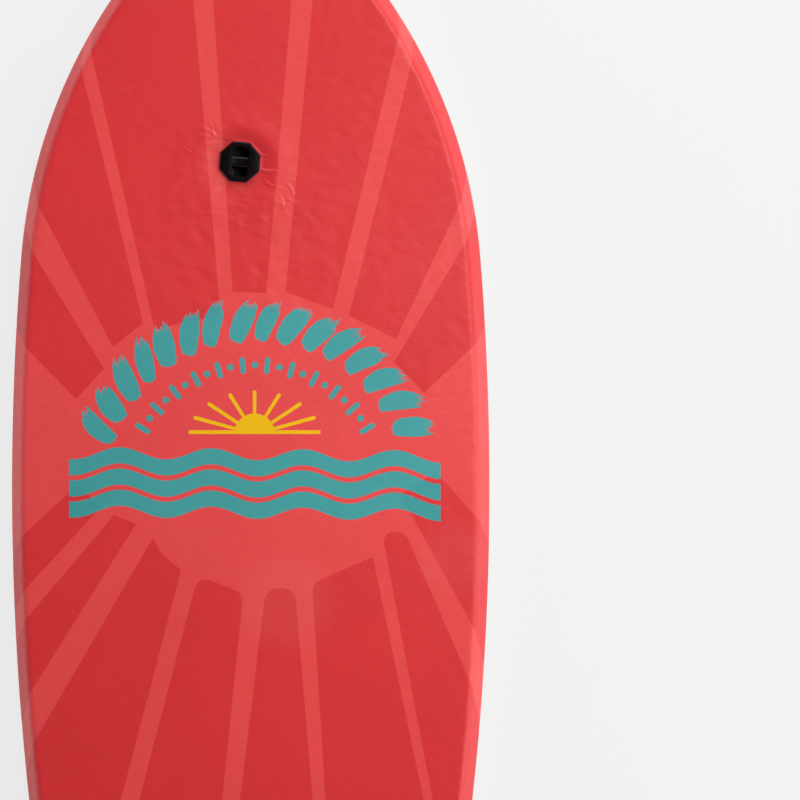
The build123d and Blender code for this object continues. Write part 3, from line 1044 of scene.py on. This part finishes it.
def plug_plastic():
    """Moulded black plastic with a satin face."""
    s = Shader("plug_black_plastic")
    grain = s.noise((0.7, 0.7, 0.7), 3.0)
    scratch = s.noise((9, 0.5, 9), 3.0, 0.6)
    dark, pale = (0.0025, 0.0015, 0.0015, 1), (0.005, 0.003, 0.003, 1)
    s.wire("Base Color", s.mix(s.remap(grain, 0.3, 0.7, 0, 1), dark, pale))
    s.wire("Roughness", s.remap(scratch, 0.3, 0.7, 0.28, 0.33))
    s.wire("Specular IOR Level", 0.18)
    s.wire("Normal", s.bump(grain, 0.00003, 0.25))
    return s.material


FLOOR_GLOW = 0.77


def floor_paint():
    """Pale floor lit partly from within, so that it stays even."""
    s = Shader("floor_paint")
    cloud = s.noise((900, 900, 900), 2.0)
    s.wire("Base Color", s.mix(cloud, (0.115, 0.115, 0.115, 1), (0.125, 0.125, 0.125, 1)))
    s.wire("Roughness", s.remap(cloud, 0.3, 0.7, 0.85, 0.95))
    s.wire("Specular IOR Level", 0.0)
    s.wire("Emission Color", (1.0, 1.0, 1.0, 1.0))
    s.wire("Emission Strength", FLOOR_GLOW)
    return s.material


# --- Build --------------------------------------------------------------------------------------
inks = [
    ink("print_coral", (0.84, 0.069, 0.071), CORAL_SPECK, HAZE_LEVEL),
    ink("print_red", (0.73, 0.033, 0.039), CORAL_SPECK, HAZE_LEVEL),
    ink("print_teal", (0.058, 0.355, 0.365), TEAL_SPECK),
    ink("print_teal_over_red", (0.052, 0.335, 0.348), TEAL_SPECK),
    ink("print_yellow", (0.93, 0.52, 0.0005), YELLOW_SPECK, coat=0.3),
]
deck = deck_skin(inks)
rail_strips(strip_foam("rail_strip_foam", (0.58, 0.57, 0.55)))
slick_sheet(slick_plastic())
plug = plug_plastic()
softened("leash_plug_top", "leash_plug_flange", 0.3, plug)
softened("leash_plug_bottom", "leash_plug_disc", 0.25, plug)
core = nodes["foam_core"].data
core.materials.clear()
core.materials.append(bead_foam())

# --- Floor, light and camera --------------------------------------------------------------------
FLOOR_SIZE = 9.0
FLOOR_DROP = 0.0003  # keeps the floor off the slick's face
WALL_LEVEL = 1.0
CEILING_LEVEL = 0.0
WALL_FOOT = 0.05  # the wall is brightest below this upward part of the direction
WALL_TOP = 0.90
LIGHT_TARGET = (0.05, 0.0, 0.03)
WHITE = (1.0, 1.0, 1.0)
WARM_WHITE = (1.0, 0.94, 0.83)
VIEW_CENTRE = (0.150, 0.009)
VIEW_FIELD = 0.8
VIEW_HEIGHT = 4.0


def pale_floor():
    """A plain floor just under the board."""
    bpy.ops.mesh.primitive_plane_add(size=FLOOR_SIZE, location=(0, 0, -FLOOR_DROP))
    floor = bpy.context.object
    floor.name = "floor"
    floor.data.materials.append(floor_paint())


def studio_world():
    """A pale room: bright low walls all round, fading to a dim ceiling."""
    world = bpy.data.worlds.new("studio")
    world.use_nodes = True
    tree = world.node_tree
    way = tree.nodes.new("ShaderNodeTexCoord")
    split = tree.nodes.new("ShaderNodeSeparateXYZ")
    fade = tree.nodes.new("ShaderNodeMapRange")
    fade.interpolation_type = "SMOOTHSTEP"
    for socket, value in enumerate((WALL_FOOT, WALL_TOP, WALL_LEVEL, CEILING_LEVEL), start=1):
        fade.inputs[socket].default_value = value
    ground = tree.nodes["Background"]
    tree.links.new(way.outputs["Generated"], split.inputs[0])
    tree.links.new(split.outputs["Z"], fade.inputs["Value"])
    tree.links.new(fade.outputs[0], ground.inputs["Strength"])
    ground.inputs["Color"].default_value = (*WHITE, 1.0)
    bpy.context.scene.world = world


def softbox(name, place, size, power, tint=WHITE):
    """A round area light that faces the board."""
    light = bpy.data.lights.new(name, "AREA")
    light.shape = "DISK"
    light.size = size
    light.energy = power
    light.color = tint
    lamp = bpy.data.objects.new(name, light)
    lamp.location = place
    lamp.rotation_euler = (Vector(LIGHT_TARGET) - Vector(place)).to_track_quat("-Z", "Y").to_euler()
    bpy.context.scene.collection.objects.link(lamp)


def overhead_camera():
    """A camera high above the deck that sees VIEW_FIELD metres of it."""
    camera = bpy.data.cameras.new("camera")
    camera.sensor_width = 36.0
    camera.lens = camera.sensor_width * VIEW_HEIGHT / VIEW_FIELD
    camera.clip_end = 50.0
    view = bpy.data.objects.new("camera", camera)
    view.location = (*VIEW_CENTRE, THICKNESS * MM + VIEW_HEIGHT)
    bpy.context.scene.collection.objects.link(view)
    bpy.context.scene.camera = view


pale_floor()
studio_world()
softbox("nose_softbox", (0.35, 1.8, 1.0), 1.7, 24.0)
softbox("top_softbox", (0.8, 0.45, 1.6), 1.0, 10.5)
softbox("right_softbox", (1.6, -1.0, 1.05), 1.9, 19.5, WARM_WHITE)
overhead_camera()
bpy.context.scene.view_settings.view_transform = "Standard"
